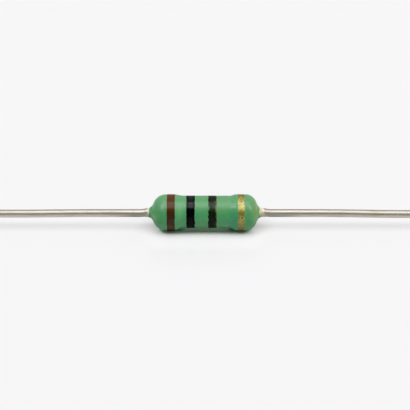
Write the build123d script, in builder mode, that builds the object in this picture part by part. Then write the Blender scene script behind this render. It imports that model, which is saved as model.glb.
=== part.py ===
from build123d import *
import os
from math import pi, radians, sin, sqrt

# Axial wirewound resistor, lying on a table on its two end bulges, with its leads along X.
# The origin is the middle of the body, on the axis of the leads. All sizes are in millimetres.

# Ceramic core, a plain rod
core_diameter = 2.50
core_length = 8.90
core_edge_chamfer = 0.30

# End caps, cups pressed over the ends of the core, with a bevelled corner
cap_wall = 0.25
cap_depth = 1.70
cap_corner_bevel = 0.30

# Leads, welded to the faces of the caps by a flat head
lead_diameter = 0.80
lead_free_length = 27.7
lead_straight_length = 5.0
lead_droop_degrees = {"left": 0.6, "right": 1.0}
lead_bend_radius = 150.0
lead_cut_chamfer = 0.06
weld_head_diameter = 1.20
weld_head_thickness = 0.12

# Resistance wire. Its length gives the resistance, and its turns are worked out from its length.
# It runs a hair above the core and the caps, and its round section has six flats.
resistance_ohm = 10.0
nickel_chromium_ohm_mm = 1.09e-3
wire_diameter = 0.08
wire_seat_clearance = 0.004
wire_rim_clearance = 0.03
wire_facets = 6

# Cream undercoat, over the winding and the caps. It shows as a collar round each lead.
undercoat_on_wire = 0.226
undercoat_on_caps = 0.225
undercoat_on_leads = 0.07
undercoat_wire_clearance = 0.006
undercoat_collar_end = 0.50
undercoat_film_length = 0.28
undercoat_film_on_leads = 0.015

# Green top coat. The slim middle swells to a bulge over each cap and rounds off to a neck.
coat_thickness = 0.08
coat_on_neck = 0.04
coat_end_cover = 0.52
coat_shoulder_radius = 1.25
coat_flare_degrees = 67.0
coat_neck_length = {"left": 0.46, "right": 0.20}
swell_before_rim = 0.65
swell_past_rim = 0.02

# Painted bands
paint_thickness = 0.02
brown_band_width = 0.80
brown_band_inset = 0.01
gold_band_width = 0.65
gold_band_inset = 0.215
black_band_width = 0.845
black_band_places = {"band_black_first": -0.628, "band_black_second": 0.295}

# Values that follow from the sizes above
core_radius = core_diameter / 2
cap_radius = core_radius + cap_wall
cap_face = core_length / 2 + cap_wall
cap_rim = cap_face - cap_depth
lead_radius = lead_diameter / 2
wire_radius = wire_diameter / 2
wire_on_core = core_radius + wire_seat_clearance + wire_radius
wire_on_cap = cap_radius + wire_seat_clearance + wire_radius
coat_end = cap_face + coat_end_cover
swell_start = cap_rim - swell_before_rim
swell_end = cap_rim + swell_past_rim
shoulder_start = coat_end - coat_shoulder_radius
collar_end = coat_end + undercoat_collar_end
film_end = collar_end + undercoat_film_length

undercoat_middle_radius = wire_on_core + wire_radius + undercoat_on_wire
undercoat_bulge_radius = cap_radius + undercoat_on_caps
undercoat_neck_radius = lead_radius + undercoat_on_leads
undercoat_shoulder_radius = coat_shoulder_radius - coat_thickness
film_radius = lead_radius + undercoat_film_on_leads
coat_middle_radius = undercoat_middle_radius + coat_thickness
coat_bulge_radius = undercoat_bulge_radius + coat_thickness
coat_neck_radius = undercoat_neck_radius + coat_on_neck

# Winding: as many half turns as the wire length asks for, spread evenly between the rims
wire_length = resistance_ohm * pi * wire_radius**2 / nickel_chromium_ohm_mm
half_turns = round(wire_length / (pi * wire_on_core))
wire_edge = cap_rim - wire_radius - wire_rim_clearance
half_pitch = 2 * wire_edge / half_turns
wire_end = wire_edge + half_pitch


def crest(radius):
    """Height of the middle of a tilted half turn whose ends lie on this radius."""
    return sqrt(radius**2 + (half_pitch / 2) ** 2)


def coat_section(neck_end):
    """Half section of the body out to the surface of the green coat, from the middle to +X."""
    with BuildSketch(mode=Mode.PRIVATE) as section:
        with BuildLine():
            middle = Polyline((0, 0), (0, coat_middle_radius), (swell_start, coat_middle_radius))
            swell = Spline(middle @ 1, (swell_end, coat_bulge_radius), tangents=((1, 0), (1, 0)))
            bulge = Line(swell @ 1, (shoulder_start, coat_bulge_radius))
            shoulder = JernArc(bulge @ 1, (1, 0), coat_shoulder_radius, -coat_flare_degrees)
            flare_length = ((shoulder @ 1).Y - coat_neck_radius) / sin(radians(coat_flare_degrees))
            flare = Line(shoulder @ 1, (shoulder @ 1) + flare_length * (shoulder % 1))
            Polyline(flare @ 1, (neck_end, coat_neck_radius), (neck_end, 0), (0, 0))
        make_face()
    return section.sketch


def undercoat_section():
    """Half section of the body out to the surface of the undercoat, drawn with cones.

    Its corners lie on an arc inside the coat's shoulder, so the coat is nowhere thinner than it should be.
    """
    centre_height = undercoat_bulge_radius - undercoat_shoulder_radius
    slope_reach = undercoat_shoulder_radius * sqrt(0.5)
    neck_reach = sqrt(undercoat_shoulder_radius**2 - (undercoat_neck_radius - centre_height) ** 2)
    with BuildSketch(mode=Mode.PRIVATE) as section:
        with BuildLine():
            Polyline(
                (0, 0),
                (0, undercoat_middle_radius),
                (swell_start, undercoat_middle_radius),
                (swell_end, undercoat_bulge_radius),
                (shoulder_start, undercoat_bulge_radius),
                (shoulder_start + slope_reach, centre_height + slope_reach),
                (shoulder_start + neck_reach, undercoat_neck_radius),
                (collar_end, undercoat_neck_radius),
                (film_end, film_radius),
                (film_end, 0),
                close=True,
            )
        make_face()
    return section.sketch


os.makedirs("parts", exist_ok=True)

# Ceramic core
with BuildPart() as ceramic_core:
    Cylinder(core_radius, core_length, rotation=(0, 90, 0))
    chamfer(ceramic_core.edges().filter_by(GeomType.CIRCLE), core_edge_chamfer)
ceramic_core.part.label = "ceramic_core"
export_step(ceramic_core.part, "parts/ceramic_core.step")

# End caps: each is revolved from its section, and the left one is then mirrored
for side in ("left", "right"):
    with BuildPart() as end_cap:
        with BuildSketch() as cap_section:
            with Locations((cap_rim, 0)):
                Rectangle(cap_depth, cap_radius, align=Align.MIN)
                Rectangle(cap_depth - cap_wall, core_radius, align=Align.MIN, mode=Mode.SUBTRACT)
            corners = cap_section.vertices()
            chamfer(corners.sort_by_distance((cap_face, cap_radius))[0], cap_corner_bevel)
        revolve(axis=Axis.X)
        if side == "left":
            mirror(about=Plane.YZ, mode=Mode.REPLACE)
    end_cap.part.label = f"end_cap_{side}"
    export_step(end_cap.part, f"parts/end_cap_{side}.step")

# Leads: straight out of the cap, then one long bend down and straight on to the cut end
for side, outwards in (("left", -1), ("right", 1)):
    with BuildPart() as lead:
        with BuildLine(Plane.XZ) as lead_route:
            root = Line((outwards * cap_face, 0), (outwards * (film_end + lead_straight_length), 0))
            bend = JernArc(root @ 1, root % 1, lead_bend_radius, -outwards * lead_droop_degrees[side])
            rest_length = lead_free_length - lead_straight_length - bend.length
            Line(bend @ 1, (bend @ 1) + rest_length * (bend % 1))
        with BuildSketch(Plane((outwards * cap_face, 0, 0), z_dir=(outwards, 0, 0))):
            Circle(lead_radius)
        sweep()
        cut_end = lead.faces().sort_by(Axis((0, 0, 0), (outwards, 0, 0)))[-1]
        chamfer(cut_end.edges(), lead_cut_chamfer)
        with BuildSketch(Plane((outwards * cap_face, 0, 0), z_dir=(outwards, 0, 0))):
            Circle(weld_head_diameter / 2)
        extrude(amount=weld_head_thickness)
    lead.part.label = f"lead_{side}"
    export_step(lead.part, f"parts/lead_{side}.step")

# Resistance wire: each half turn is half a circle, tilted so that its ends lie half a pitch apart.
# The ends of the half turns point straight up or down, so the next one runs on smoothly.
# The first and last half turns lie on the caps, and the ones beside them climb the step of the rim.
wire_places = [(-wire_end, wire_on_cap), (-wire_edge, wire_on_cap)]
wire_places += [(i * half_pitch - wire_edge, wire_on_core) for i in range(1, half_turns)]
wire_places += [(wire_edge, wire_on_cap), (wire_end, wire_on_cap)]
with BuildPart() as resistance_wire:
    with BuildLine() as wire_route:
        side_of_core = 1
        for (x, radius), (next_x, next_radius) in zip(wire_places, wire_places[1:]):
            start = Vector(x, side_of_core * radius, 0)
            end = Vector(next_x, -side_of_core * next_radius, 0)
            over = Vector(0, 0, side_of_core * (end - start).length / 2)
            ThreePointArc(start, (start + end) / 2 + over, end)
            side_of_core = -side_of_core
    with BuildSketch(Plane((-wire_end, wire_on_cap, 0))):
        RegularPolygon(wire_radius, wire_facets)
    sweep()
resistance_wire.part.label = "resistance_wire"
export_step(resistance_wire.part, "parts/resistance_wire.step")

# Undercoat: bored out to the wire over the winding, and to the caps, weld heads and leads beyond it
wire_outside = wire_radius + undercoat_wire_clearance
bore_on_core = crest(wire_on_core) + wire_outside
bore_on_cap = crest(wire_on_cap) + wire_outside
ramp_start = wire_edge - half_pitch - wire_outside
ramp_end = wire_edge - wire_outside
with BuildPart() as undercoat:
    with BuildSketch():
        add(undercoat_section())
        mirror(about=Plane.YZ)
    revolve(axis=Axis.X)
    with BuildSketch() as chamber:
        with BuildLine():
            Polyline(
                (0, 0),
                (0, bore_on_core),
                (ramp_start, bore_on_core),
                (ramp_end, bore_on_cap),
                (wire_end + wire_outside, bore_on_cap),
                (wire_end + wire_outside, cap_radius),
                (cap_face, cap_radius),
                (cap_face, 0),
                close=True,
            )
        make_face()
        chamfer(chamber.vertices().sort_by_distance((cap_face, cap_radius))[0], cap_corner_bevel)
        with Locations((cap_face, 0)):
            Rectangle(weld_head_thickness, weld_head_diameter / 2, align=Align.MIN)
            Rectangle(film_end - cap_face, lead_radius, align=Align.MIN)
        mirror(about=Plane.YZ)
    revolve(axis=Axis.X, mode=Mode.SUBTRACT)
undercoat.part.label = "undercoat"
export_step(undercoat.part, "parts/undercoat.step")

# Green top coat: the space between its own surface and the undercoat's, cut off at each neck
neck_ends = {side: coat_end + length for side, length in coat_neck_length.items()}
with BuildPart() as top_coat:
    with BuildSketch():
        add(coat_section(max(neck_ends.values())))
        add(undercoat_section(), mode=Mode.SUBTRACT)
        mirror(about=Plane.YZ)
    revolve(axis=Axis.X)
    split(bisect_by=Plane.YZ.offset(-neck_ends["left"]), keep=Keep.TOP)
    split(bisect_by=Plane.YZ.offset(neck_ends["right"]), keep=Keep.BOTTOM)
top_coat.part.label = "top_coat"
export_step(top_coat.part, "parts/top_coat.step")

# Painted bands: rings on the coat, the brown and gold ones on the bulges and the black ones between
bands = {
    "band_brown": (-swell_end - brown_band_inset - brown_band_width / 2, brown_band_width, coat_bulge_radius),
    "band_gold": (swell_end + gold_band_inset + gold_band_width / 2, gold_band_width, coat_bulge_radius),
}
for band_name, place in black_band_places.items():
    bands[band_name] = (place * swell_start, black_band_width, coat_middle_radius)
for band_name, (centre, width, carrier_radius) in bands.items():
    with BuildPart() as band:
        with BuildSketch(Plane.YZ.offset(centre)):
            Circle(carrier_radius + paint_thickness)
            Circle(carrier_radius, mode=Mode.SUBTRACT)
        extrude(amount=width / 2, both=True)
    band.part.label = band_name
    export_step(band.part, f"parts/{band_name}.step")

wound_length = sum(arc.length for arc in wire_route.line.edges()[1:-1])
print(f"{half_turns} half turns, {wound_length:.1f} mm between the caps for {wire_length:.1f} mm of wire")
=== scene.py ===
"""Looks of an axial wirewound resistor that lies on a white table.

Shapes are worked out in millimetres, along X and round the leads' axis, and put into the meshes in metres.
Angles run round the axis from the top (+Z) towards the front (-Y).
"""

import logging
from dataclasses import dataclass, field
from enum import Enum
from math import cos, pi, radians, sin, tan
from typing import Union

import bpy
import numpy as np
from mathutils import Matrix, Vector


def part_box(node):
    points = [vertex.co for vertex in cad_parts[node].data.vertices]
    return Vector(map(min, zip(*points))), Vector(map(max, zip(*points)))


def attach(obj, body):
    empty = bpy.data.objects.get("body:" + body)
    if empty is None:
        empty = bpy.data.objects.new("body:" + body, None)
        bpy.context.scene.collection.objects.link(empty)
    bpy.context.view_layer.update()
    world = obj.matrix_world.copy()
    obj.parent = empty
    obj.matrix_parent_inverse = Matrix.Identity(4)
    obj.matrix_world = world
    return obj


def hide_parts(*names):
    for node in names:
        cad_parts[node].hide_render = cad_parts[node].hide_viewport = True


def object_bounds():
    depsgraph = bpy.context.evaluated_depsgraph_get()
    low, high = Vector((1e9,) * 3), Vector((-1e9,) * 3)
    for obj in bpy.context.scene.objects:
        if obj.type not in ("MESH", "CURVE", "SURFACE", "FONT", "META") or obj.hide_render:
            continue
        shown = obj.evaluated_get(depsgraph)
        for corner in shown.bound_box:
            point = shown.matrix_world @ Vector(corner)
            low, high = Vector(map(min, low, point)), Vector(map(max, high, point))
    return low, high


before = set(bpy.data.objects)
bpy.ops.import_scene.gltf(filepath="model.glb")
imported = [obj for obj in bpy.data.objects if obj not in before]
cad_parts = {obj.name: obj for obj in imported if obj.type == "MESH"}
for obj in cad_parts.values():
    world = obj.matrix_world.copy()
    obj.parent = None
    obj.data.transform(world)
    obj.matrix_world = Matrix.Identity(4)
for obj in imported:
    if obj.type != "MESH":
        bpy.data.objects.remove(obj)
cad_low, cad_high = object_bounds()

log = logging.getLogger("resistor")

METRES = 0.001
BODY = "root"

# Levels of a screen: a straight line up to LINE_END, and a power curve above it
SCREEN_WHITE = 255
LINE_END = 10
LINE_SLOPE = 12.92
CURVE_OFFSET = 0.055
CURVE_POWER = 2.4

# Sockets of the Mix node when it mixes colours
MIX_FIRST = 6
MIX_SECOND = 7
MIX_RESULT = 2

# Middle of a noise that runs from 0 to 1
NOISE_MIDDLE = 0.5

# A linear colour with its alpha
Colour = tuple[float, float, float, float]

# Where an easing starts, and where it ends
Span = tuple[float, float]

# The middle of a place, and how far it reaches to either side
Spot = tuple[float, float]


def linear_level(level: int) -> float:
    """Turn one level of a screen, 0 to 255, into linear light."""
    curved = ((level / SCREEN_WHITE + CURVE_OFFSET) / (1.0 + CURVE_OFFSET)) ** CURVE_POWER
    return curved if level > LINE_END else level / SCREEN_WHITE / LINE_SLOPE


def srgb(red: int, green: int, blue: int) -> Colour:
    """Turn a colour as a screen writes it, 0 to 255, into linear light with an alpha of 1."""
    return (linear_level(red), linear_level(green), linear_level(blue), 1.0)


def grey(level: float) -> Colour:
    """A grey of that linear level."""
    return (level, level, level, 1.0)


def shifted(span: Span, by: float) -> Span:
    """The span, moved by that much."""
    return (span[0] + by, span[1] + by)


def smooth_step(share: np.ndarray) -> np.ndarray:
    """Ease from 0 to 1 with no slope at either end: 3 s squared less 2 s cubed, held at 0 and 1 outside."""
    held = np.clip(share, 0.0, 1.0)
    return held * held * (3.0 - 2.0 * held)


def node_box(node: str) -> tuple[Vector, Vector]:
    """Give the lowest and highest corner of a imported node, in millimetres."""
    low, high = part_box(node)
    return low / METRES, high / METRES


class Side(Enum):
    """The two ends of the part, as the sign of X."""

    LEFT = -1
    RIGHT = 1

    @property
    def word(self) -> str:
        """The side as node names write it."""
        return self.name.lower()


class Closing(Enum):
    """How the first and the last ring of a turned shape are closed."""

    LOOP = "the profile runs round to its start"
    POLES = "each end closes on a middle point"


class Shade:
    """A number that changes over a surface. Its operators add Math nodes to the material."""

    def __init__(self, bench: "Bench", socket: bpy.types.NodeSocket) -> None:
        """Wrap a socket of the tree that the bench is filling."""
        self.bench = bench
        self.socket = socket

    def _math(self, operation: str, *values: "Number") -> "Shade":
        """Add a Math node of that operation on the values."""
        node = self.bench.node("ShaderNodeMath", {"operation": operation}, dict(enumerate(values)))
        return Shade(self.bench, node.outputs[0])

    def __add__(self, other: "Number") -> "Shade":
        """Sum of both."""
        return self._math("ADD", self, other)

    __radd__ = __add__

    def __mul__(self, other: "Number") -> "Shade":
        """Product of both."""
        return self._math("MULTIPLY", self, other)

    __rmul__ = __mul__

    def __sub__(self, other: "Number") -> "Shade":
        """This less the other."""
        return self._math("SUBTRACT", self, other)

    def __rsub__(self, other: "Number") -> "Shade":
        """The other less this."""
        return self._math("SUBTRACT", other, self)

    def __abs__(self) -> "Shade":
        """Size without the sign."""
        return self._math("ABSOLUTE", self)

    def step(self, start: float, end: float) -> "Shade":
        """Ease from 0 at start to 1 at end, held outside. Start may be the larger one.

        Args:
            start: Where it is still 0.
            end: Where it has reached 1.

        Returns:
            The eased shade.
        """
        settings = {"interpolation_type": "SMOOTHSTEP"}
        inputs = {0: self, 1: min(start, end), 2: max(start, end), 3: 0.0, 4: 1.0}
        eased = Shade(self.bench, self.bench.node("ShaderNodeMapRange", settings, inputs).outputs[0])
        return eased if start < end else 1.0 - eased

    def beyond(self, limit: float) -> "Shade":
        """How far this is past the limit, and 0 before it."""
        return self._math("MAXIMUM", self - limit, 0.0)

    def near(self, centre: float, reach: float) -> "Shade":
        """Ease from 1 at the centre to 0 where this is the reach away from it."""
        return abs(self - centre).step(reach, 0.0)


Number = Union[Shade, float]


@dataclass(frozen=True)
class Grain:
    """How fine a soft noise is: blotches to the millimetre, octaves of finer noise, and the share of each."""

    along: float
    around: float
    octaves: float = 2.0
    rough: float = 0.5


class Bench:
    """Fills one node tree, of a material or of the world. Every node comes from its node method."""

    def __init__(self, owner: Union[bpy.types.Material, bpy.types.World]) -> None:
        """Empty the owner's tree.

        Args:
            owner: The material or the world that the bench fills.
        """
        owner.use_nodes = True
        self.owner = owner
        self.tree = owner.node_tree
        self.tree.nodes.clear()

    def node(self, kind: str, settings: dict, inputs: dict) -> bpy.types.Node:
        """Add a node.

        Args:
            kind: Blender's type of the node.
            settings: Its settings, which are set first.
            inputs: Values, sockets or shades of its inputs, by name or number.

        Returns:
            The node.
        """
        made = self.tree.nodes.new(kind)
        for setting, value in settings.items():
            setattr(made, setting, value)
        for key, value in inputs.items():
            source = value.socket if isinstance(value, Shade) else value
            if isinstance(source, bpy.types.NodeSocket):
                self.tree.links.new(source, made.inputs[key])
            else:
                made.inputs[key].default_value = source
        return made

    def place(self, scale: tuple[float, float, float] = (1, 1, 1)) -> bpy.types.NodeSocket:
        """Give object coordinates in millimetres, stretched by a scale along each axis.

        Args:
            scale: The scale along X, Y and Z.

        Returns:
            The coordinates.
        """
        coordinates = self.node("ShaderNodeTexCoord", {}, {}).outputs["Object"]
        steps = tuple(s / METRES for s in scale)
        settings = {"operation": "MULTIPLY"}
        return self.node("ShaderNodeVectorMath", settings, {0: coordinates, 1: steps}).outputs[0]

    def axes(self) -> tuple[Shade, Shade, Shade]:
        """X, Y and Z of the surface in millimetres."""
        parts = self.node("ShaderNodeSeparateXYZ", {}, {0: self.place()})
        return tuple(Shade(self, out) for out in parts.outputs)

    def noise(self, grain: Grain) -> Shade:
        """Give soft noise from 0 to 1.

        Args:
            grain: How fine it is.

        Returns:
            The noise.
        """
        place = self.place((grain.along, grain.around, grain.around))
        inputs = {"Vector": place, "Scale": 1.0, "Detail": grain.octaves, "Roughness": grain.rough}
        return Shade(self, self.node("ShaderNodeTexNoise", {}, inputs).outputs[0])

    def flakes(self, per_mm: float) -> tuple[Shade, Shade]:
        """Give flat cells.

        Args:
            per_mm: Cells to the millimetre.

        Returns:
            The distance to each cell's middle, and a random number for each cell.
        """
        inputs = {"Vector": self.place(), "Scale": per_mm}
        cells = self.node("ShaderNodeTexVoronoi", {}, inputs)
        parts = self.node("ShaderNodeSeparateXYZ", {}, {0: cells.outputs["Color"]})
        return Shade(self, cells.outputs["Distance"]), Shade(self, parts.outputs[0])

    def mix(self, first: "Tint", second: "Tint", share: Number) -> bpy.types.NodeSocket:
        """Blend two colours.

        Args:
            first: The colour at a share of 0.
            second: The colour at a share of 1.
            share: How much of the second there is.

        Returns:
            The blend.
        """
        settings = {"data_type": "RGBA"}
        inputs = {0: share, MIX_FIRST: first, MIX_SECOND: second}
        return self.node("ShaderNodeMix", settings, inputs).outputs[MIX_RESULT]

    def bump(self, height: Shade, depth_mm: float) -> bpy.types.NodeSocket:
        """Normal of a surface with that relief, whose height of 1 stands depth_mm high."""
        return self.node("ShaderNodeBump", {}, {"Height": height, "Distance": depth_mm * METRES}).outputs[0]

    def finish(self, inputs: dict) -> bpy.types.Material:
        """End the material in a Principled shader.

        Args:
            inputs: The shader's inputs, by name.

        Returns:
            The material.
        """
        shader = self.node("ShaderNodeBsdfPrincipled", {}, inputs)
        self.node("ShaderNodeOutputMaterial", {}, {"Surface": shader.outputs[0]})
        return self.owner


Tint = Union[Colour, bpy.types.NodeSocket]


def material_bench(name: str) -> Bench:
    """A bench for a new material of that name."""
    return Bench(bpy.data.materials.new(name))


@dataclass(frozen=True)
class Patch:
    """A soft patch: its spots along X and in height, an even share and a share that follows a cloud."""

    along: Spot
    height: Spot
    even: float
    clouded: float

    def share(self, x: Shade, z: Shade, cloud: Shade) -> Shade:
        """Both spots' easings, times the even share plus the clouded share of the cloud."""
        return x.near(*self.along) * z.near(*self.height) * (self.even + self.clouded * cloud)


@dataclass(frozen=True)
class GreenLacquer:
    """Semi-gloss green lacquer, deeper where it is thick and yellower where the cream shows through; its
    paler top is painted sheen and its pale patches are painted highlights.
    """

    # The paler, redder top green is painted sheen; it fades down into the deeper lower green.
    painted_sheen_green: Colour = srgb(96, 160, 107)
    lower: Colour = srgb(72, 166, 100)
    # The pale green is painted highlight, laid on by the two patches below.
    pale: Colour = srgb(140, 206, 146)
    thin: Colour = srgb(122, 174, 96)
    thick: Colour = srgb(46, 152, 104)
    blotches: Grain = Grain(0.42, 0.5, 3.0)
    clouds: Grain = Grain(0.9, 0.9)
    specks: Grain = Grain(9.0, 9.0)
    waves: Grain = Grain(1.1, 1.1, 1.0)
    peel: Grain = Grain(5.0, 5.0)
    painted_sheen_falloff: Span = (1.5, 0.3)
    thin_blotches: Span = (0.5, 0.78)
    thin_blotch_share: float = 0.55
    thin_flare: Spot = (5.15, 1.05)
    thin_flare_share: float = 0.75
    thick_clouds: Span = (0.5, 0.75)
    thick_cloud_share: float = 0.35
    thick_flank: Spot = (2.95, 1.0)
    thick_above: Span = (1.6, 1.0)
    thick_above_share: float = 0.5
    thick_below: Span = (0.6, -0.6)
    thick_below_share: float = 0.3
    # Painted highlights: a pale patch on the left flank, and on the lower parts of both flares.
    painted_highlight_flank: Patch = Patch(along=(-2.6, 0.75), height=(0.85, 1.0), even=0.15, clouded=0.35)
    painted_highlight_flares: Patch = Patch(along=(5.2, 0.7), height=(-0.2, 0.9), even=0.35, clouded=0.6)
    roughness: float = 0.22
    speck_roughness: float = 0.12
    cloud_roughness: float = 0.08
    peel_depth: float = 0.003
    wave_depth: float = 0.012

    def material(self) -> bpy.types.Material:
        """A paler top green painted in as sheen over a deeper lower green, with thin and thick places, pale
        patches painted in as highlights, and orange peel.

        Returns:
            The material.
        """
        bench = material_bench("green_lacquer")
        x, _, z = bench.axes()
        blotch = bench.noise(self.blotches)
        cloud = bench.noise(self.clouds)
        speck = bench.noise(self.specks)
        thin = blotch.step(*self.thin_blotches) * self.thin_blotch_share
        thin = thin + x.near(*self.thin_flare) * self.thin_flare_share
        flank = self.thick_above_share * z.step(*self.thick_above)
        flank = flank + self.thick_below_share * z.step(*self.thick_below)
        thick = cloud.step(*self.thick_clouds) * self.thick_cloud_share + x.near(*self.thick_flank) * flank
        # Pale patches: painted highlights.
        pale = self.painted_highlight_flank.share(x, z, cloud) + self.painted_highlight_flares.share(abs(x), z, cloud)
        # Painted sheen: the top green, fading out downwards with a cloudy edge.
        painted_sheen_falloff = (z + (cloud - NOISE_MIDDLE)).step(*self.painted_sheen_falloff)
        colour = bench.mix(bench.mix(self.painted_sheen_green, self.lower, painted_sheen_falloff), self.thin, thin.step(0.0, 1.0))
        colour = bench.mix(bench.mix(colour, self.thick, thick.step(0.0, 1.0)), self.pale, pale)
        relief = self.wave_depth * bench.noise(self.waves) + self.peel_depth * bench.noise(self.peel)
        return bench.finish(
            {
                "Base Color": colour,
                "Roughness": self.roughness + self.speck_roughness * speck + self.cloud_roughness * cloud,
                "Normal": bench.bump(relief, 1.0),
            }
        )


@dataclass(frozen=True)
class CreamResin:
    """Cream undercoat that feathers out to a clear film over the tinned wire."""

    cream: Colour = srgb(238, 224, 184)
    pale: Colour = srgb(222, 214, 190)
    tin: Colour = srgb(205, 200, 192)
    blotches: Grain = Grain(3.0, 3.0)
    pale_blotches: Span = (0.35, 0.7)
    film: Span = (5.7, 5.95)
    film_waver: float = 0.2
    film_metal: float = 0.9
    roughness: float = 0.42
    film_polish: float = 0.12
    blotch_roughness: float = 0.1
    relief_depth: float = 0.01

    def material(self) -> bpy.types.Material:
        """Cream blotches out to the collar, then bare tin showing through, with an uneven limit.

        Returns:
            The material.
        """
        bench = material_bench("cream_resin")
        x, _, _ = bench.axes()
        blotch = bench.noise(self.blotches)
        cleared = (abs(x) + self.film_waver * (blotch - NOISE_MIDDLE)).step(*self.film)
        colour = bench.mix(self.cream, self.pale, blotch.step(*self.pale_blotches))
        return bench.finish(
            {
                "Base Color": bench.mix(colour, self.tin, cleared),
                "Metallic": cleared * self.film_metal,
                "Roughness": self.roughness - self.film_polish * cleared + self.blotch_roughness * blotch,
                "Normal": bench.bump(blotch, self.relief_depth),
            }
        )


@dataclass(frozen=True)
class BandPaint:
    """Opaque band paint, a little streaky, whose gloss fades to the edges and the underside."""

    name: str
    # The top colour is painted light: sheen on the upper side, and a painted reflection low down.
    top: Colour
    even: Colour
    streak: Colour
    centre: float
    half_width: float
    roughness: float
    gloss_above: float
    gloss_below: float
    edge_fade: float
    streaks: Grain = Grain(7.0, 0.8, 3.0)
    specks: Grain = Grain(14.0, 14.0)
    blotches: Grain = Grain(2.4, 1.2, 1.0)
    streak_span: Span = (0.42, 0.72)
    gloss_rise: Span = (0.5, 1.1)
    fade_start: float = 0.1
    underside: Span = (-0.9, -1.2)
    underside_fade: float = 0.85
    # Where the top colour is painted: as sheen up high, and low down as a painted reflection of the table.
    painted_sheen_rise: Span = (0.9, 1.4)
    low_rise: Span = (-0.1, -0.8)
    painted_reflection_fall: Span = (-1.3, -1.0)
    painted_reflection_share: float = 0.5
    base_roughness: float = 0.5
    least_coat: float = 0.6
    blotched_coat: float = 0.8
    streak_relief: float = 0.6
    speck_relief: float = 0.4
    relief_depth: float = 0.004

    def material(self) -> bpy.types.Material:
        """Faint streaks round the body, fine specks, and a lighter colour painted at the top as sheen and low
        down as a reflection of the table.

        Returns:
            The material.
        """
        bench = material_bench(self.name)
        x, _, z = bench.axes()
        streak = bench.noise(self.streaks)
        speck = bench.noise(self.specks)
        colour = bench.mix(self.even, self.streak, streak.step(*self.streak_span))
        blotch = bench.noise(self.blotches)
        gloss = self.gloss_below + (self.gloss_above - self.gloss_below) * z.step(*self.gloss_rise)
        across = abs(x - self.centre).step(self.fade_start * self.half_width, self.half_width)
        gloss = gloss * (1.0 - self.edge_fade * across)
        gloss = gloss * (1.0 - self.underside_fade * z.step(*self.underside))
        # Painted sheen at the top and a painted reflection of the table low down.
        painted_sheen_and_reflection = z.step(*self.painted_sheen_rise) + self.painted_reflection_share * z.step(*self.low_rise) * z.step(*self.painted_reflection_fall)
        relief = streak * self.streak_relief + speck * self.speck_relief
        return bench.finish(
            {
                "Base Color": bench.mix(colour, self.top, painted_sheen_and_reflection),
                "Roughness": self.base_roughness,
                "Specular IOR Level": 0.0,
                "Coat Weight": gloss * (self.least_coat + self.blotched_coat * blotch),
                "Coat Roughness": self.roughness,
                "Normal": bench.bump(relief, self.relief_depth),
            }
        )


@dataclass(frozen=True)
class ThinBlackPaint:
    """Black paint that is thin enough for the green to show, over brown that shows at its edges.

    The spans of its fringes and bare edges are counted from the band's edge.
    """

    centre: float
    half_width: float
    black: Colour = srgb(8, 18, 7)
    green: Colour = srgb(22, 44, 22)
    # A greener colour, painted in streaks at the highlight's height as painted highlight.
    painted_highlight: Colour = srgb(42, 66, 38)
    brown: Colour = srgb(146, 104, 54)
    coat: Colour = srgb(104, 152, 98)
    streaks: Grain = Grain(5.0, 1.0, 3.0)
    rags: Grain = Grain(4.0, 2.6, 3.0, 0.6)
    green_streaks: Span = (0.4, 0.75)
    painted_highlight_streaks: Span = (0.25, 0.5)
    painted_highlight_height: Spot = (1.25, 0.45)
    right_fringe: Span = (-0.2, -0.02)
    right_waver: float = 0.3
    right_least: float = 0.3
    right_height: Spot = (1.15, 0.45)
    chip_reach: float = 0.36
    chip_height: Spot = (1.58, 0.1)
    chip_share: float = 0.8
    left_fringe: Span = (0.05, -0.02)
    left_waver: float = 0.16
    left_height: Spot = (1.35, 0.5)
    left_share: float = 0.7
    fringe_rags: Span = (0.3, 0.6)
    bare_edge: Span = (-0.16, -0.05)
    bare_height: Spot = (1.15, 0.3)
    base_roughness: float = 0.5
    roughness: float = 0.2
    gloss_above: float = 0.45
    gloss_below: float = 0.17
    gloss_rise: Span = (0.5, 1.1)
    relief_depth: float = 0.004

    def material(self) -> bpy.types.Material:
        """Greenish black streaks, with a greener colour painted in streaks near the top as highlight, ragged
        brown fringes and bare edges.

        Returns:
            The material.
        """
        bench = material_bench("thin_black_paint")
        x, _, z = bench.axes()
        streak = bench.noise(self.streaks)
        ragged = bench.noise(self.rags)
        across = x - self.centre
        right_edge, left_edge = self.half_width, -self.half_width
        waver = ragged - NOISE_MIDDLE
        right = (across + self.right_waver * waver).step(*shifted(self.right_fringe, right_edge))
        left = (across + self.left_waver * waver).step(*shifted(self.left_fringe, left_edge))
        chip = across.near(right_edge, self.chip_reach) * z.near(*self.chip_height) * self.chip_share
        right = right * (self.right_least + z.near(*self.right_height)) + chip
        left = left * z.near(*self.left_height)
        bare = abs(across).step(*shifted(self.bare_edge, right_edge)) * z.near(*self.bare_height)
        # Painted highlight: greener streaks at the highlight's height.
        painted_highlight = z.near(*self.painted_highlight_height) * streak.step(*self.painted_highlight_streaks)
        colour = bench.mix(self.black, self.green, streak.step(*self.green_streaks))
        colour = bench.mix(colour, self.painted_highlight, painted_highlight)
        fringe = (right + left * self.left_share) * ragged.step(*self.fringe_rags)
        colour = bench.mix(colour, self.brown, fringe)
        gloss = self.gloss_below + (self.gloss_above - self.gloss_below) * z.step(*self.gloss_rise)
        return bench.finish(
            {
                "Base Color": bench.mix(colour, self.coat, bare),
                "Roughness": self.base_roughness,
                "Specular IOR Level": 0.0,
                "Coat Weight": gloss,
                "Coat Roughness": self.roughness,
                "Normal": bench.bump(streak, self.relief_depth),
            }
        )


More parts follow.
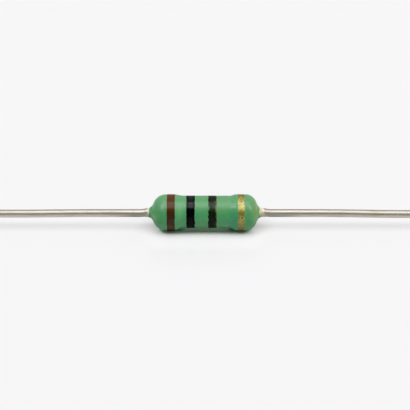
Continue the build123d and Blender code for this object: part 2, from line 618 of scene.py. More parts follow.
@dataclass(frozen=True)
class GoldPaint:
    """Gold paint full of bright flakes, with painted shade low down, along its crest and at one height of its
    flanks, and a painted highlight above that.
    """

    deep: Colour = srgb(110, 103, 22)
    bright: Colour = srgb(216, 203, 112)
    flakes_per_mm: float = 16.0
    clouds: Grain = Grain(2.0, 2.0)
    flake_tone: float = 0.8
    cloud_tone: float = 0.3
    tone_span: Span = (0.1, 1.0)
    low_tone: float = 0.2
    painted_light_rise: float = 0.65
    rise: Span = (-0.8, 0.4)
    crest: Spot = (0.2, 0.65)
    # Crest, dull band and bright band: painted shade and a painted highlight in the flake colour.
    crest_painted_shade: float = 0.8
    crest_gloss_fade: float = 0.7
    high_tone: float = 1.2
    painted_shade_height: Spot = (0.84, 0.36)
    painted_shade_fade: float = 0.75
    painted_glint_height: Spot = (1.2, 0.32)
    painted_glint_share: float = 0.45
    metal: float = 0.55
    roughness: float = 0.36
    flake_roughness: float = 0.2
    low_gloss: float = 0.4
    low_rise: Span = (-1.2, -0.9)
    high_gloss: float = 0.6
    high_rise: Span = (0.9, 1.35)
    coat_roughness: float = 0.18
    flake_depth: float = 0.006

    def material(self) -> bpy.types.Material:
        """Flakes that differ in brightness, gloss and height, under painted light that changes with height:
        shade low down, along the crest and at one height, and a highlight band above it.

        Returns:
            The material.
        """
        bench = material_bench("gold_paint")
        middle, chance = bench.flakes(self.flakes_per_mm)
        cloud = bench.noise(self.clouds)
        _, y, z = bench.axes()
        # Flake brightness times painted light: painted shade low down, along the crest and at one height of
        # the flanks, plus a painted highlight band.
        flakes_and_painted_light = (chance * self.flake_tone + cloud * self.cloud_tone).step(*self.tone_span)
        flakes_and_painted_light = flakes_and_painted_light * (self.low_tone + self.painted_light_rise * z.step(*self.rise))
        flakes_and_painted_light = flakes_and_painted_light * (1.0 - self.crest_painted_shade * y.near(*self.crest))
        flakes_and_painted_light = flakes_and_painted_light * (self.high_tone - self.painted_shade_fade * z.near(*self.painted_shade_height))
        flakes_and_painted_light = flakes_and_painted_light + self.painted_glint_share * z.near(*self.painted_glint_height)
        gloss = self.low_gloss * z.step(*self.low_rise) + self.high_gloss * z.step(*self.high_rise)
        gloss = gloss * (1.0 - self.crest_gloss_fade * y.near(*self.crest))
        return bench.finish(
            {
                "Base Color": bench.mix(self.deep, self.bright, flakes_and_painted_light),
                "Metallic": self.metal,
                "Roughness": self.roughness + self.flake_roughness * chance,
                "Coat Weight": gloss,
                "Coat Roughness": self.coat_roughness,
                "Normal": bench.bump(middle * chance, self.flake_depth),
            }
        )


@dataclass(frozen=True)
class DrawnMetal:
    """Bare or tinned metal with fine lines along the axis."""

    name: str
    even: Colour
    dull: Colour
    roughness: float
    lines_per_mm: float = 16.0
    line_depth: float = 0.003
    lines_along: float = 0.25
    line_octaves: float = 3.0
    blotches: Grain = Grain(0.5, 2.5, 3.0, 0.6)
    scuffs: Grain = Grain(2.5, 7.0)
    dull_blotches: Span = (0.42, 0.75)
    blotch_roughness: float = 0.12
    line_roughness: float = 0.08
    line_relief: float = 0.6
    scuff_relief: float = 0.4

    def material(self) -> bpy.types.Material:
        """Fine lines along X, longer blotches of duller metal and a few short scuffs.

        Returns:
            The material.
        """
        bench = material_bench(self.name)
        lines = bench.noise(Grain(self.lines_along, self.lines_per_mm, self.line_octaves))
        blotch = bench.noise(self.blotches)
        scuff = bench.noise(self.scuffs)
        return bench.finish(
            {
                "Base Color": bench.mix(self.even, self.dull, blotch.step(*self.dull_blotches)),
                "Metallic": 1.0,
                "Roughness": self.roughness + self.blotch_roughness * blotch + self.line_roughness * lines,
                "Normal": bench.bump(lines * self.line_relief + scuff * self.scuff_relief, self.line_depth),
            }
        )


@dataclass(frozen=True)
class Ceramic:
    """Unglazed off-white ceramic."""

    even: Colour = srgb(232, 228, 216)
    warm: Colour = srgb(212, 204, 186)
    blotches: Grain = Grain(1.5, 1.5, 3.0)
    warm_blotches: Span = (0.4, 0.7)
    dry_grain: Grain = Grain(30.0, 30.0)
    roughness: float = 0.7
    grain_roughness: float = 0.15
    grain_depth: float = 0.004

    def material(self) -> bpy.types.Material:
        """Warm blotches over a fine dry grain.

        Returns:
            The material.
        """
        bench = material_bench("unglazed_ceramic")
        blotch = bench.noise(self.blotches)
        grain = bench.noise(self.dry_grain)
        return bench.finish(
            {
                "Base Color": bench.mix(self.even, self.warm, blotch.step(*self.warm_blotches)),
                "Roughness": self.roughness + self.grain_roughness * grain,
                "Normal": bench.bump(grain, self.grain_depth),
            }
        )


def turned_piece(name: str, points: np.ndarray, closing: Closing) -> bpy.types.Object:
    """Make a closed mesh from rings of points.

    Each ring is joined to the next by four-sided faces, and its last point to its first. With LOOP the last
    ring is joined to the first. With POLES a fan of triangles joins each end ring to the mean of its points.
    The faces are turned round if the signed volume comes out below zero. It is a sixth of the sum of each
    triangle's triple product.

    Args:
        name: Name of the piece.
        points: Rings, points of a ring, and X, Y and Z in millimetres.
        closing: How the ends are closed.

    Returns:
        The piece, with smooth faces, in metres.
    """
    rings, turns, _ = points.shape
    number = np.arange(rings * turns).reshape(rings, turns)
    after = np.roll(number, -1, axis=1)
    if closing is Closing.LOOP:
        following, following_after = np.roll(number, -1, axis=0), np.roll(after, -1, axis=0)
        quads = np.stack([number, after, following_after, following], axis=-1).reshape(-1, 4)
        caps = np.empty((0, 3), int)
        corners = points.reshape(-1, 3)
    else:
        quads = np.stack([number[:-1], after[:-1], after[1:], number[1:]], axis=-1).reshape(-1, 4)
        first, last = rings * turns, rings * turns + 1
        start_fan = np.stack([after[0], number[0], np.full(turns, first)], axis=-1)
        end_fan = np.stack([number[-1], after[-1], np.full(turns, last)], axis=-1)
        caps = np.concatenate([start_fan, end_fan])
        corners = np.concatenate([points.reshape(-1, 3), points[[0, -1]].mean(axis=1)])
    triangles = np.concatenate([quads[:, [0, 1, 2]], quads[:, [0, 2, 3]], caps])
    a, b, c = (corners[triangles[:, i]] for i in range(3))
    if np.einsum("ij,ij->i", a, np.cross(b, c)).sum() < 0.0:
        quads, caps = quads[:, ::-1], caps[:, ::-1]
    mesh = bpy.data.meshes.new(name)
    mesh.from_pydata((corners * METRES).tolist(), [], quads.tolist() + caps.tolist())
    mesh.polygons.foreach_set("use_smooth", np.ones(len(mesh.polygons), bool))
    mesh.update()
    piece = bpy.data.objects.new(name, mesh)
    bpy.context.scene.collection.objects.link(piece)
    return piece


def round_axis(x: np.ndarray, radius: np.ndarray, angle: np.ndarray) -> np.ndarray:
    """Place points round the X axis: Y is minus radius times sine, Z is radius times cosine of the angle."""
    x, radius, angle = np.broadcast_arrays(x, radius, angle)
    return np.stack([x, -radius * np.sin(angle), radius * np.cos(angle)], axis=-1)


def rounded_greater(one: np.ndarray, other: Union[np.ndarray, float], fillet: float) -> np.ndarray:
    """Take the greater of both, with a fillet where they differ by less than its size.

    The share of the first eases from 0 to 1 over that stretch, and the fillet adds its size times the share
    times 1 less the share.

    Args:
        one: First values.
        other: Second values.
        fillet: Size of the fillet.

    Returns:
        The rounded greater value.
    """
    share = np.clip(0.5 + 0.5 * (one - other) / fillet, 0.0, 1.0)
    return other + (one - other) * share + fillet * share * (1.0 - share)


def turn_angles(turns: int) -> np.ndarray:
    """Even angles round one turn, as a row."""
    return (np.arange(turns) * 2.0 * pi / turns)[None, :]


@dataclass(frozen=True)
class Sag:
    """How a lead, with the film on it, hangs a little below the axis beside the body."""

    deepest: float = 0.075
    start: float = 5.75
    eased_in: float = 0.8
    release: float = 17.0
    eased_out: float = 8.0

    def at(self, out: np.ndarray) -> np.ndarray:
        """Drop at a distance from the middle, eased in past the start and out past the release."""
        lowered = self.deepest * smooth_step((out - self.start) / self.eased_in)
        return lowered * (1.0 - smooth_step((out - self.release) / self.eased_out))


@dataclass(frozen=True)
class Waver:
    """A seeded sum of sines that repeats after one turn, for hand-dipped surfaces and edges."""

    seed: int
    waves: int
    most_turns: int
    most_per_mm: float = 0.0

    def at(self, angle: np.ndarray, x: Union[np.ndarray, float] = 0.0) -> np.ndarray:
        """Give the unevenness, from about -1 to 1.

        Each wave is the sine of a whole number times the angle, plus a number times x, plus a phase, and its
        height falls with its number of turns.

        Args:
            angle: Angles round the axis.
            x: Places along the axis in millimetres.

        Returns:
            The sum of the waves, over the sum of their heights.
        """
        draw = np.random.default_rng(self.seed)
        turns = draw.integers(1, self.most_turns + 1, self.waves)
        per_mm = draw.uniform(-self.most_per_mm, self.most_per_mm, self.waves)
        phase = draw.uniform(0.0, 2.0 * pi, self.waves)
        height = 1.0 / np.sqrt(turns)
        total = sum(h * np.sin(t * angle + k * x + p) for h, t, k, p in zip(height, turns, per_mm, phase))
        return total / height.sum()


@dataclass(frozen=True)
class CoatEnd:
    """How the coat runs out over one end cap: swell, shoulder arc, straight flare, fillet, neck and edge."""

    swell_start: float
    swell_end: float
    shoulder_start: float
    shoulder_radius: float
    flare_degrees: float
    fillet: float
    edge: float
    edge_notch: float
    collar_end: float
    neck_radius: float = 0.53
    edge_slant: float = -0.06


@dataclass
class Coating:
    """The green top coat over the cream undercoat."""

    left_end: CoatEnd = CoatEnd(
        swell_start=2.12,
        swell_end=3.14,
        shoulder_start=3.95,
        shoulder_radius=1.30,
        flare_degrees=68.6,
        fillet=0.60,
        edge=5.63,
        edge_notch=0.0,
        collar_end=5.84,
    )
    right_end: CoatEnd = CoatEnd(
        swell_start=2.39,
        swell_end=3.05,
        shoulder_start=4.01,
        shoulder_radius=1.12,
        flare_degrees=69.0,
        fillet=0.58,
        edge=5.47,
        edge_notch=0.10,
        collar_end=5.78,
    )
    middle_radius: float = 1.612
    middle_lift: float = 0.078
    lift_eased: float = 0.9
    paint_height: float = 0.010
    skin: float = 0.06
    slope_reach: float = 0.01
    lip: float = 0.10
    lip_power: int = 4
    collar_radius: float = 0.475
    collar_ahead: float = 0.1
    collar_fillet: float = 0.02
    film_radius: float = 0.445
    uneven: float = 0.007
    edge_waver: float = 0.04
    edge_seed: int = 5
    edge_waves: int = 7
    edge_turns: int = 7
    edge_reach: float = 0.6
    seen_top_degrees: float = 30.0
    notch_degrees: float = 60.0
    notch_reach_degrees: float = 60.0
    turns: int = 256
    stations: int = 288
    stations_to_inner: int = 3
    finer: int = 8
    surface_waver: Waver = Waver(seed=11, waves=14, most_turns=7, most_per_mm=1.6)
    bulge_radius: float = field(init=False)
    film_end: float = field(init=False)

    def __post_init__(self) -> None:
        """Read from the frame what the solids settle."""
        self.bulge_radius = node_box("band_brown")[1].z - self.paint_height
        self.film_end = node_box("undercoat")[1].x

    def end(self, side: Side) -> CoatEnd:
        """The coat's end on that side."""
        return self.left_end if side is Side.LEFT else self.right_end

    def outline(self, x: np.ndarray) -> np.ndarray:
        """Radius of the green surface at x, without its unevenness.

        The slim middle eases up to the bulge. The shoulder is an arc down to the flare, a straight slope, and
        a fillet leads that into the neck. Each side has its own end.

        Args:
            x: Places along the axis in millimetres.

        Returns:
            The radius in millimetres.
        """
        left, right = (self.end_outline(np.abs(x), self.end(side)) for side in Side)
        return np.where(x < 0.0, left, right)

    def end_outline(self, out: np.ndarray, end: CoatEnd) -> np.ndarray:
        """Give the outline of one end: the body, plus the shoulder's arc, less the slope past the arc.

        Args:
            out: Distances from the middle in millimetres.
            end: The end.

        Returns:
            The radius in millimetres.
        """
        swell = smooth_step((out - end.swell_start) / (end.swell_end - end.swell_start))
        body = self.middle_radius + (self.bulge_radius - self.middle_radius) * swell
        slope = radians(end.flare_degrees)
        reach = end.shoulder_radius * sin(slope)
        inwards = np.clip(out - end.shoulder_start, 0.0, reach)
        arc = np.sqrt(end.shoulder_radius**2 - inwards**2) - end.shoulder_radius
        flare = body + arc - tan(slope) * np.clip(out - end.shoulder_start - reach, 0.0, None)
        return rounded_greater(flare, end.neck_radius, end.fillet)

    def surface(self, x: np.ndarray, angle: np.ndarray) -> np.ndarray:
        """Radius of the green surface.

        It is the outline, with a slight unevenness that only takes away. The slim middle lies a little higher
        than the bulges: the cosine of the angle, times the lift, eased out over the swell.

        Args:
            x: Places along the axis in millimetres.
            angle: Angles round the axis.

        Returns:
            The radius in millimetres.
        """
        swollen = smooth_step((np.abs(x) - self.left_end.swell_start) / self.lift_eased)
        lift = self.middle_lift * (1.0 - swollen) * np.cos(angle)
        return self.outline(x) + lift + self.uneven * (self.surface_waver.at(angle, x) - 1.0) / 2.0

    def taper(self, out: np.ndarray, end: CoatEnd) -> np.ndarray:
        """Ease from 0, a little before the green edge, to 1 at the collar's end."""
        past = out - end.edge + self.collar_ahead
        return smooth_step(past / (end.collar_end - end.edge + self.collar_ahead))

    def inside(self, x: np.ndarray) -> np.ndarray:
        """Radius where the green coat ends and the cream one starts.

        It is the outline less the skin over the cosine of the slope, so that the skin is as thick everywhere.
        It runs out to the collar, which tapers to the film.

        Args:
            x: Places along the axis in millimetres.

        Returns:
            The radius in millimetres.
        """
        rise = self.outline(x + self.slope_reach) - self.outline(x - self.slope_reach)
        slope = rise / (2.0 * self.slope_reach)
        below = self.outline(x) - self.skin * np.hypot(1.0, slope)
        left, right = (self.taper(np.abs(x), self.end(side)) for side in Side)
        taper = np.where(x < 0.0, left, right)
        collar = self.collar_radius + (self.film_radius - self.collar_radius) * taper
        return rounded_greater(below * (1.0 - taper) + collar * taper, collar, self.collar_fillet)

    def edge(self, side: Side, angle: np.ndarray) -> np.ndarray:
        """Give X of the ragged edge of the green coat on a neck: a slant over the turn, a notch and a waver.

        Args:
            side: The neck's side.
            angle: Angles round the axis.

        Returns:
            The places in millimetres.
        """
        end = self.end(side)
        waver = Waver(self.edge_seed + side.value, self.edge_waves, self.edge_turns)
        slant = end.edge_slant * np.cos(angle + radians(self.seen_top_degrees))
        from_notch = np.abs(np.degrees(angle) - self.notch_degrees)
        notch = end.edge_notch * smooth_step(1.0 - from_notch / self.notch_reach_degrees)
        return side.value * (end.edge + slant - notch + self.edge_waver * waver.at(angle))

    def even_stations(self, count: int) -> np.ndarray:
        """Give places along the axis that lie evenly along the outline, by reading its length backwards.

        Args:
            count: How many places.

        Returns:
            The places in millimetres.
        """
        x = np.linspace(-self.left_end.edge, self.right_end.edge, self.finer * count)
        length = np.concatenate([[0.0], np.cumsum(np.hypot(np.diff(x), np.diff(self.outline(x))))])
        return np.interp(np.linspace(0.0, length[-1], count), length, x)

    def green(self) -> bpy.types.Object:
        """Make the green coat: its surface out to the ragged edges, and back along the cream one below it.

        Near each end the places along the axis are shifted by up to the edge's own shift. Over the lip the
        coat thins to nothing, as the root of 1 less the share of the lip raised to lip_power.

        Returns:
            The piece.
        """
        angle = turn_angles(self.turns)
        x = self.trimmed(self.even_stations(self.stations)[:, None], angle)
        left_over = sum(
            np.clip(1.0 - (self.edge(side, angle) - x) * side.value / self.lip, 0.0, 1.0) for side in Side
        )
        below = self.inside(x)
        thinned = np.sqrt(1.0 - left_over**self.lip_power)
        outer = round_axis(x, below + (self.surface(x, angle) - below) * thinned, angle)
        inner_stations = self.even_stations(self.stations // self.stations_to_inner)
        inner_x = self.trimmed(inner_stations[::-1, None], angle)
        inner = round_axis(inner_x, self.inside(inner_x), angle)
        return turned_piece("green_top_coat", np.concatenate([outer, inner]), Closing.LOOP)

    def trimmed(self, x: np.ndarray, angle: np.ndarray) -> np.ndarray:
        """Shift the places near each end so that the last one lies on the ragged edge.

        Args:
            x: Places along the axis in millimetres.
            angle: Angles round the axis.

        Returns:
            The shifted places.
        """
        shift = sum(
            (self.edge(side, angle) - side.value * self.end(side).edge)
            * smooth_step(1.0 - (self.end(side).edge - x * side.value) / self.edge_reach)
            for side in Side
        )
        return x + shift


@dataclass
class Band:
    """One painted band. It lies on the coat and has rounded, slightly wavering edges."""

    node: str
    slot: str
    paint: Union[BandPaint, ThinBlackPaint, GoldPaint]
    edge_waver: float
    seed: int
    turns: int = 360
    stations: int = 28
    sunk: float = 0.004
    edge_waves: int = 12
    edge_turns: int = 26
    flatness: int = 8

    def piece(self, coating: Coating) -> bpy.types.Object:
        """Make the band.

        Its height over the coat is the root of 1 less the place across it, from -1 to 1, to the power of its
        flatness, so it is flat with rounded edges.

        Args:
            coating: The coat that carries it.

        Returns:
            The piece.
        """
        low, high = node_box(self.node)
        angle = turn_angles(self.turns)
        edges = [Waver(self.seed + i, self.edge_waves, self.edge_turns).at(angle) for i in range(2)]
        left = low.x + self.edge_waver * edges[0]
        right = high.x + self.edge_waver * edges[1]
        across = -np.cos(np.linspace(0.0, pi, self.stations))[:, None]
        x = (left + right) / 2.0 + across * (right - left) / 2.0
        carrier = coating.surface(x, angle)
        outer = carrier + coating.paint_height * np.sqrt(1.0 - across**self.flatness)
        inner = carrier - self.sunk
        points = np.concatenate([round_axis(x, outer, angle), round_axis(x, inner, angle)[::-1]])
        return turned_piece(self.node.replace("band_", "") + "_band", points, Closing.LOOP)


@dataclass
class Undercoat:
    """The cream undercoat. It shows as a collar and a thin film round each lead, and the film sags with it.

    The bore is given as distances from the middle and the radius at each.
    """

    coating: Coating
    bore: tuple[tuple[float, float], ...] = (
        (0.0, 1.367),
        (2.35, 1.367),
        (2.88, 1.61),
        (3.51, 1.61),
        (3.512, 1.5),
        (4.4, 1.5),
        (4.7, 1.2),
        (4.702, 0.6),
        (4.82, 0.6),
        (4.822, 0.4),
    )
    least_wall: float = 0.01
    lumps: Waver = Waver(seed=31, waves=9, most_turns=6, most_per_mm=4.0)
    lump_depth: float = 0.006
    lump_start: float = 5.3
    lump_eased: float = 0.2
    sag: Sag = Sag()
    turns: int = 144
    stations: int = 220

    def piece(self) -> bpy.types.Object:
        """Make the undercoat: out along its surface, and back along the bore over winding, caps and leads.

        Returns:
            The piece.
        """
        coat = self.coating
        angle = turn_angles(self.turns)
        x = np.linspace(-coat.film_end, coat.film_end, self.stations)[:, None]
        lump = self.lump_depth * (self.lumps.at(angle, x) - 1.0)
        radius = coat.inside(x) + lump * smooth_step((np.abs(x) - self.lump_start) / self.lump_eased)
        outer = round_axis(x, radius, angle)
        places, radii = zip(*self.bore)
        inner_radius = np.interp(np.abs(x), places, radii)
        inner = round_axis(x, np.minimum(inner_radius, radius - self.least_wall), angle)[::-1]
        points = np.concatenate([outer, inner])
        points[..., 2] -= self.sag.at(np.abs(points[..., 0]))
        return turned_piece("cream_undercoat", points, Closing.LOOP)


@dataclass
class Lead:
    """One tinned lead: out of its weld head, straight on, round a long bend and straight to its cut end."""

    side: Side
    radius: float = 0.40
    pole_radius: float = 0.02
    weld_head_radius: float = 0.60
    weld_head_end: float = 4.82
    head_step: float = 0.002
    wire_past_head: float = 0.01
    straight_end: float = 11.0
    bend_radius: float = 150.0
    droop_degrees: dict = field(default_factory=lambda: {Side.LEFT: 0.6, Side.RIGHT: 1.0})
    sag: Sag = Sag()
    end_rounding: float = 0.06
    rounding_stations: int = 7
    uneven: float = 0.006
    uneven_seed: int = 40
    uneven_waves: int = 12
    uneven_turns: int = 3
    uneven_per_mm: float = 1.1
    uneven_start: float = 5.4
    uneven_eased: float = 1.0
    turns: int = 112
    stations: int = 620

    def piece(self) -> bpy.types.Object:
        """Make the lead.

        The centre line drops by the bend's radius less its cosine, then goes on at the droop's angle, and the
        sag is added. Each ring stands square to the bend. A long waver makes the drawn wire faintly uneven,
        and only takes away.

        Returns:
            The piece.
        """
        low, high = node_box(f"lead_{self.side.word}")
        start, end = sorted((abs(low.x), abs(high.x)))
        droop = radians(self.droop_degrees[self.side])
        bend_reach = self.bend_radius * sin(droop)
        bend_end = self.straight_end + bend_reach
        far_end = end - self.radius * sin(droop)
        wire_start = self.weld_head_end + self.wire_past_head
        along = np.concatenate(
            [
                [start, start, self.weld_head_end, self.weld_head_end + self.head_step],
                np.linspace(wire_start, far_end - self.end_rounding, self.stations),
            ]
        )
        rounding = np.linspace(0.0, pi / 2.0, self.rounding_stations)[1:]
        out = np.concatenate([along, far_end - self.end_rounding * (1.0 - np.sin(rounding)), [far_end]])
        radius = np.concatenate(
            [
                [self.pole_radius, self.weld_head_radius, self.weld_head_radius, self.radius],
                np.full(self.stations, self.radius),
                self.radius - self.end_rounding * (1.0 - np.cos(rounding)),
                [self.pole_radius],
            ]
        )[:, None]
        into_bend = np.clip(out - self.straight_end, 0.0, bend_reach)
        drop = self.bend_radius - np.sqrt(self.bend_radius**2 - into_bend**2)
        drop = drop + tan(droop) * np.clip(out - bend_end, 0.0, None)
        drop = drop + self.sag.at(out)
        tilt = np.arcsin(into_bend / self.bend_radius)[:, None]
        angle = turn_angles(self.turns)
        seed = self.uneven_seed + self.side.value
        waver = Waver(seed, self.uneven_waves, self.uneven_turns, self.uneven_per_mm)
        free = smooth_step((out[:, None] - self.uneven_start) / self.uneven_eased)
        uneven = self.uneven / self.radius * (waver.at(angle, out[:, None]) - 1.0) / 2.0 * free
        radius = radius * (1.0 + uneven)
        up = radius * np.cos(angle)
        x = self.side.value * (out[:, None] + up * np.sin(tilt))
        z = up * np.cos(tilt) - drop[:, None]
        y = np.broadcast_to(-radius * np.sin(angle), z.shape)
        return turned_piece(f"tinned_lead_{self.side.word}", np.stack([x, y, z], axis=-1), Closing.POLES)


@dataclass
class Element:
    """The hidden element: ceramic core, end caps and resistance wire. Its solids are right as they are."""

    ceramic: Ceramic = Ceramic()
    cap_metal: DrawnMetal = DrawnMetal(
        "tinned_steel",
        srgb(206, 203, 196),
        srgb(176, 172, 164),
        roughness=0.3,
    )
    wire_metal: DrawnMetal = DrawnMetal(
        "nickel_chromium",
        srgb(176, 168, 158),
        srgb(140, 132, 122),
        roughness=0.35,
        lines_per_mm=40.0,
        line_depth=0.001,
    )

    def dress(self) -> None:
        """Give each solid its finish. The finishes are made in the order of the solids."""
        finishes = {
            "ceramic_core": self.ceramic,
            "end_cap_left": self.cap_metal,
            "end_cap_right": self.cap_metal,
            "resistance_wire": self.wire_metal,
        }
        made = {finish: finish.material() for finish in dict.fromkeys(finishes.values())}
        for node, finish in finishes.items():
            dress(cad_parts[node], made[finish])
            log.info("%s keeps its solid and gets %s", node, made[finish].name)


@dataclass(frozen=True)
class Softbox:
    """One soft lamp: the direction it hangs in, its width and depth, and its brightness, 1 being white."""

    name: str
    direction: tuple[float, float, float]
    size: tuple[float, float]
    radiance: float

    def hang(self, distance: float) -> None:
        """Hang the lamp so that it faces the part. Its power is its radiance times pi times its area.

        Args:
            distance: How far from the part, in millimetres.
        """
        wide, deep = (size * METRES for size in self.size)
        light = bpy.data.lights.new(self.name, "AREA")
        light.shape = "RECTANGLE"
        light.size, light.size_y = wide, deep
        light.energy = self.radiance * pi * wide * deep
        lamp = bpy.data.objects.new(self.name, light)
        towards = Vector(self.direction).normalized()
        lamp.location = towards * distance * METRES
        lamp.rotation_euler = towards.to_track_quat("Z", "Y").to_euler()
        bpy.context.scene.collection.objects.link(lamp)


@dataclass
class Studio:
    """White table, soft light from both sides above, a pale surround and the camera.

    The table glows for the camera and, away from the part, in reflections. Under and in front of the part
    the glow is weak and greenish, like the shade in the photo.
    """

    lens: float = 120.0
    sensor: float = 36.0
    nearest: float = 0.005
    view_width: float = 41.0
    elevation_degrees: float = 30.0
    aim_right: float = -0.04
    aim_up: float = 0.740
    table_radius: float = 1500.0
    table_corners: int = 96
    table_near: Colour = srgb(226, 224, 226)
    table_aside: Colour = srgb(150, 149, 150)
    table_grain: Grain = Grain(0.05, 0.05)
    table_roughness: float = 0.2
    grain_roughness: float = 0.06
    # Glow tints under the part, at its contact and along its front verge: painted shade, greenish as a
    # painted bounce from the body.
    under_painted_shade: Colour = (0.046, 0.068, 0.046, 1.0)
    contact_painted_shade: Colour = (0.0, 0.002, 0.0, 1.0)
    verge_painted_green_bounce: Colour = (0.022, 0.038, 0.019, 1.0)
    front_glow: float = 0.205
    far_glow: float = 0.125
    aside_glow: float = 0.582
    mirrored_share: float = 0.95
    mirrored_reach: Span = (6.5, 10.0)
    footprint: float = 3.6
    shade_middle: float = -0.3
    under_reach: Span = (0.2, 1.4)
    far_reach: Span = (1.5, 22.0)
    contact_reach: Span = (1.9, 2.7)
    verge_reach: Span = (-0.4, -0.75)
    aside_reach: Span = (4.4, 7.4)
    ahead_middle: float = -4.0
    ahead_reach: Span = (4.5, 14.0)
    lamps: tuple[Softbox, ...] = (
        Softbox("softbox_left", (-0.515, -0.33, 0.805), (600.0, 600.0), 5.4),
        Softbox("softbox_right", (0.745, -0.27, 0.63), (600.0, 600.0), 7.0),
        Softbox("softbox_roof", (0.0, -0.19, 0.98), (3300.0, 1600.0), 2.14),
    )
    lamp_distance: float = 2000.0
    pale_back: float = 0.56
    dark_front: float = 0.04
    back_reach: Span = (-0.5, 0.1)
    seen_level: float = 0.92

    def table_finish(self) -> bpy.types.Material:
        """White paint, a little glossy, with the glow that the camera and reflections see; near the part the
        glow is weak and greenish as painted shade.

        Returns:
            The material.
        """
        bench = material_bench("table_top")
        grain = bench.noise(self.table_grain)
        path = bench.node("ShaderNodeLightPath", {}, {}).outputs
        x, y, _ = bench.axes()
        glossy = Shade(bench, path["Is Glossy Ray"])
        mirrored = self.mirrored_share * glossy * abs(x).step(*self.mirrored_reach)
        seen = Shade(bench, path["Is Camera Ray"]) + mirrored
        past_end, past_side = abs(x).beyond(self.footprint), y - self.shade_middle
        apart = past_end * past_end + past_side * past_side
        ahead = abs(y - self.ahead_middle).step(*self.ahead_reach)
        aside = 1.0 - (1.0 - abs(x).step(*self.aside_reach)) * (1.0 - ahead)
        glow = bench.mix(self.under_painted_shade, self.contact_painted_shade, abs(x).step(*self.contact_reach))
        glow = bench.mix(glow, self.verge_painted_green_bounce, y.step(*self.verge_reach))
        glow = bench.mix(glow, grey(self.front_glow), apart.step(*self.under_reach))
        glow = bench.mix(glow, grey(self.far_glow), apart.step(*self.far_reach))
        glow = bench.mix(glow, grey(self.aside_glow), aside)
        return bench.finish(
            {
                "Base Color": bench.mix(self.table_near, self.table_aside, aside),
                "Roughness": self.table_roughness + self.grain_roughness * grain,
                "Emission Color": bench.mix(grey(0.0), glow, seen),
                "Emission Strength": 1.0,
            }
        )

    def table(self) -> None:
        """A round table top just under the part: its rim is the cosine and sine of even angles."""
        material = self.table_finish()
        angle = turn_angles(self.table_corners)[0]
        circle = [np.cos(angle), np.sin(angle), np.zeros(self.table_corners)]
        rim = np.stack(circle, axis=-1) * self.table_radius
        rim[:, 2] = cad_low.z / METRES
        mesh = bpy.data.meshes.new("table_top")
        mesh.from_pydata((rim * METRES).tolist(), [], [list(range(self.table_corners))])
        table = bpy.data.objects.new("table_top", mesh)
        bpy.context.scene.collection.objects.link(table)
        dress(table, material)

    def world(self) -> None:
        """Pale behind and dark in front, as in a room with a white sweep, and near white for the camera."""
        world = bpy.data.worlds.new("pale_surround")
        bench = Bench(world)
        towards = bench.node("ShaderNodeTexCoord", {}, {}).outputs["Generated"]
        parts = bench.node("ShaderNodeSeparateXYZ", {}, {0: towards})
        rearwards = Shade(bench, parts.outputs[1])
        level = self.dark_front + (self.pale_back - self.dark_front) * rearwards.step(*self.back_reach)
        seen = Shade(bench, bench.node("ShaderNodeLightPath", {}, {}).outputs["Is Camera Ray"])
        level = level * (1.0 - seen) + self.seen_level * seen
        background = bench.node("ShaderNodeBackground", {}, {"Strength": level})
        bench.node("ShaderNodeOutputWorld", {}, {"Surface": background.outputs[0]})
        bpy.context.scene.world = world

    def camera(self) -> None:
        """A long lens in front and above, whose picture is view_width wide at the part."""
        data = bpy.data.cameras.new("camera")
        data.lens, data.sensor_width = self.lens, self.sensor
        data.clip_start = self.nearest
        camera = bpy.data.objects.new("camera", data)
        raised = radians(self.elevation_degrees)
        back = Vector((0.0, -cos(raised), sin(raised)))
        upwards = Vector((0.0, sin(raised), cos(raised)))
        distance = self.view_width * self.lens / self.sensor
        aim = Vector((self.aim_right, 0.0, 0.0)) + upwards * self.aim_up
        camera.location = (aim + back * distance) * METRES
        camera.rotation_euler = back.to_track_quat("Z", "Y").to_euler()
        bpy.context.scene.collection.objects.link(camera)
        bpy.context.scene.camera = camera

    def build(self) -> None:
        """Set the stage."""
        self.table()
        for softbox in self.lamps:
            softbox.hang(self.lamp_distance)
        self.world()
        self.camera()
        bpy.context.scene.view_settings.view_transform = "Standard"


def dress(piece: bpy.types.Object, material: bpy.types.Material) -> None:
    """Give a piece that material and no other."""
    piece.data.materials.clear()
    piece.data.materials.append(material)


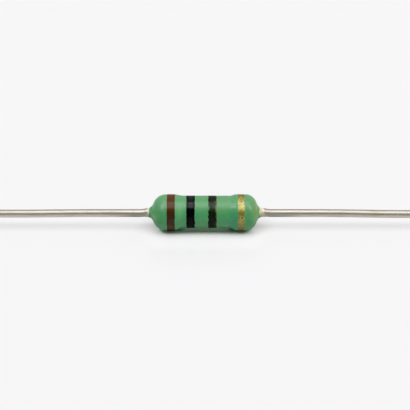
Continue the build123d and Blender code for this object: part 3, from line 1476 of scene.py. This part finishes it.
def hand_over(piece: bpy.types.Object, material: bpy.types.Material, node: str) -> None:
    """Dress a piece, let it stand for its node and report it.

    Args:
        piece: The piece.
        material: Its finish.
        node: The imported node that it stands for.
    """
    dress(piece, material)
    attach(piece, BODY)
    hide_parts(node)
    log.info("%s stands for %s with %d faces", piece.name, node, len(piece.data.polygons))


def band_place(node: str) -> tuple[float, float]:
    """Middle and half of the width of a band, in millimetres along X."""
    low, high = node_box(node)
    return (low.x + high.x) / 2.0, (high.x - low.x) / 2.0


def painted_bands() -> list[Band]:
    """Make the four bands, from the brown one on the left bulge to the gold one on the right.

    Returns:
        The bands.
    """
    brown = BandPaint(
        "brown_paint",
        # painted sheen and reflection colour, then the even and the streak colours
        srgb(90, 51, 25),
        srgb(70, 38, 15),
        srgb(62, 40, 22),
        *band_place("band_brown"),
        roughness=0.2,
        gloss_above=0.5,
        gloss_below=0.48,
        edge_fade=0.0,
    )
    black = BandPaint(
        "black_paint",
        # painted sheen and reflection colour, a bluish tint, then the even and the streak colours
        srgb(3, 10, 14),
        srgb(2, 4, 4),
        srgb(5, 10, 9),
        *band_place("band_black_first"),
        roughness=0.14,
        gloss_above=0.66,
        gloss_below=0.17,
        edge_fade=0.6,
    )
    thin_black = ThinBlackPaint(*band_place("band_black_second"))
    return [
        Band("band_brown", "brown_paint", brown, edge_waver=0.03, seed=61),
        Band("band_black_first", "black_paint", black, edge_waver=0.06, seed=64),
        Band("band_black_second", "black_over_brown_paint", thin_black, edge_waver=0.08, seed=67),
        Band("band_gold", "gold_paint", GoldPaint(), edge_waver=0.015, seed=70),
    ]


def main() -> None:
    """Build the part's looks and the stage."""
    logging.basicConfig(level=logging.INFO, format="%(name)s: %(message)s")
    Studio().build()
    coating = Coating()
    hand_over(coating.green(), GreenLacquer().material(), "top_coat")
    hand_over(Undercoat(coating).piece(), CreamResin().material(), "undercoat")
    for band in painted_bands():
        hand_over(band.piece(coating), band.paint.material(), band.node)
    tinned = DrawnMetal("tinned_wire", srgb(203, 197, 186), srgb(188, 179, 163), roughness=0.38).material()
    for side in Side:
        hand_over(Lead(side).piece(), tinned, f"lead_{side.word}")
    Element().dress()


if __name__ == "__main__":
    main()
